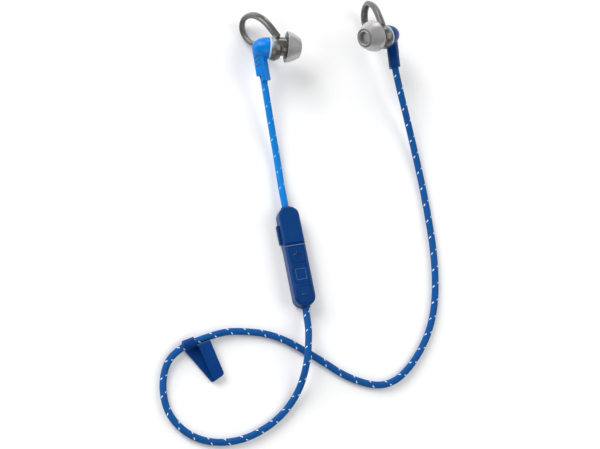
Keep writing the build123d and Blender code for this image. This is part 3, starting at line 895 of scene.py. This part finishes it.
def stabilizer_material(side):
    """Grey silicone with a pale tint towards the housing, over the sleeve's upper back part: partly the
    silicone clearing there, partly a painted highlight on the lit side, kept off the lower side that lies
    in shade.
    """
    silicone = glossy_silicone(side + "_silicone")
    tree = silicone.node_tree
    x_way, y_way, _ = bud_axes(side)
    origin = BUD_PLACES[side][0]
    clear = along_axis(tree, origin, x_way, *CLEAR_AND_LIT_START)
    for way, span, inside in (
        (x_way, CLEAR_AND_LIT_TO_GREY, False),
        (y_way, CLEAR_AND_LIT_FROM_BELOW, True),
        (y_way, CLEAR_AND_LIT_UP_TO, False),
    ):
        share = along_axis(tree, origin, way, *span)
        if not inside:
            share = math_node(tree, "SUBTRACT", 1.0, share)
        clear = math_node(tree, "MULTIPLY", clear, share)
    # The pale tint is partly clear silicone and partly painted highlight.
    tint(silicone, CLEAR_AND_LIT_SILICONE, clear)
    return silicone


def make_stabilizer(side):
    """The soft sleeve, its neck and its loop, flowed together and hollowed for the housing."""
    sleeve = lathe_piece("sleeve", SLEEVE_OUTLINE, BODY_DROP)
    bulge = lathe_piece("bulge", bulge_outline())
    stretch = Matrix.Diagonal((*BULGE_SIZE, 1.0))
    bulge.data.transform(Matrix.Translation(Vector(BULGE_CENTRE) * MM) @ stretch)
    neck = lathe_piece(
        "neck",
        [
            (NECK_START, ON_AXIS),
            (NECK_START, NECK_R),
            (NECK_END - NECK_SOFT, NECK_R),
            (NECK_END, NECK_R - NECK_SOFT),
            (NECK_END, ON_AXIS),
        ],
    )
    points = spline_points("loop_line", LOOP_ROUTES[side])
    loop = tube_piece(
        "loop", points, frames_on(points, Vector((1, 0, 0))), strap_section(LOOP_THICK, LOOP_WIDTH)
    )
    body = joined(side + "_stabilizer_skin", [sleeve, bulge, neck, loop])
    melt_edges(body, SILICONE_VOXEL, SILICONE_SMOOTHING)
    apply_modifiers(body)
    housing_room = lathe_piece(
        "housing_room",
        [
            (ROOM_BACK, ON_AXIS),
            (ROOM_BACK, RING_ROOM_R),
            (RING_ROOM_END, RING_ROOM_R),
            (RING_ROOM_END, HOUSING_ROOM_R),
            (HOUSING_ROOM_END, HOUSING_ROOM_R),
            (HOUSING_ROOM_END, ON_AXIS),
        ],
        BODY_DROP,
    )
    past_neck = NECK_END + 2
    nozzle_room = lathe_piece(
        "nozzle_room",
        [(0, ON_AXIS), (0, NOZZLE_ROOM_R), (past_neck, NOZZLE_ROOM_R), (past_neck, ON_AXIS)],
    )
    for cutter in (housing_room, nozzle_room):
        cut = body.modifiers.new("cut", "BOOLEAN")
        cut.operation = "DIFFERENCE"
        cut.solver = "EXACT"
        cut.object = cutter
    apply_modifiers(body)
    bpy.data.objects.remove(housing_room)
    bpy.data.objects.remove(nozzle_room)
    settle(body, side)
    set_material(body, "grey_silicone", stabilizer_material(side))
    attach(body, side + "_stabilizer_body")
    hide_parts(side + "_stabilizer")


def make_ear_tip(side):
    """A thin domed skirt folded back from the lip of its stem."""
    tip = lathe_piece(side + "_ear_tip_skin", TIP_OUTLINE)
    subdivision = tip.modifiers.new("soften", "SUBSURF")
    subdivision.levels = 1
    subdivision.render_levels = 1
    apply_modifiers(tip)
    settle(tip, side)
    set_material(tip, "clear_grey_silicone")
    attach(tip, side + "_tip_body")
    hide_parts(side + "_ear_tip")


for side in SIDES:
    make_stabilizer(side)
    make_ear_tip(side)


# ---------------------------------------------------------------- floor, light, camera
def make_floor():
    """A plain pale floor, level with the lowest point of the object."""
    reach = FLOOR_REACH
    corners = [(-reach, -reach, 0), (reach, -reach, 0), (reach, reach, 0), (-reach, reach, 0)]
    floor = new_piece("floor", corners, [(0, 1, 2, 3)])
    floor.location.z = CAD_BOX[0].z
    floor.data.materials.append(surface("floor_white", FLOOR_WHITE, 0.9, drift=0.01, drift_size=200))


def soft_light(name, place, size, power):
    """A square area light that looks at the origin."""
    light = bpy.data.lights.new(name, "AREA")
    light.shape = "SQUARE"
    light.size = size
    light.energy = power
    lamp = bpy.data.objects.new(name, light)
    lamp.location = place
    lamp.rotation_mode = "QUATERNION"
    lamp.rotation_quaternion = (-Vector(place)).to_track_quat("-Z", "Y")
    bpy.context.scene.collection.objects.link(lamp)


def make_world(strength, backdrop_strength):
    """Dim light from all round, with a pale backdrop where the floor ends."""
    world = bpy.data.worlds.new("studio")
    world.use_nodes = True
    nodes = world.node_tree.nodes
    around = nodes["Background"]
    backdrop = nodes.new("ShaderNodeBackground")
    for background, level in ((around, strength), (backdrop, backdrop_strength)):
        background.inputs["Color"].default_value = (1, 1, 1, 1)
        background.inputs["Strength"].default_value = level
    rays = nodes.new("ShaderNodeLightPath")
    mix = nodes.new("ShaderNodeMixShader")
    link = world.node_tree.links.new
    link(rays.outputs["Is Camera Ray"], mix.inputs[0])
    link(around.outputs["Background"], mix.inputs[1])
    link(backdrop.outputs["Background"], mix.inputs[2])
    link(mix.outputs["Shader"], nodes["World Output"].inputs["Surface"])
    bpy.context.scene.world = world


def make_camera():
    """The camera over the table, with the far side of the table upwards in its picture."""
    camera = bpy.data.cameras.new("camera")
    camera.lens = CAMERA_LENS
    camera.sensor_width = CAMERA_SENSOR
    camera.clip_start = 0.01
    camera.clip_end = 20
    holder = bpy.data.objects.new("camera", camera)
    place = Vector(CAMERA_PLACE)
    back = (place - Vector(CAMERA_AIM)).normalized()
    right = Vector((0, 1, 0)).cross(back).normalized()
    axes = Matrix((right, back.cross(right), back)).transposed()
    holder.matrix_world = Matrix.Translation(place) @ axes.to_4x4()
    bpy.context.scene.collection.objects.link(holder)
    bpy.context.scene.camera = holder


make_floor()
make_world(WORLD_LIGHT, BACKDROP_LIGHT)
for light_name, (place, size, power) in LIGHTS.items():
    soft_light(light_name, place, size, power)
make_camera()
bpy.context.scene.view_settings.view_transform = "Standard"
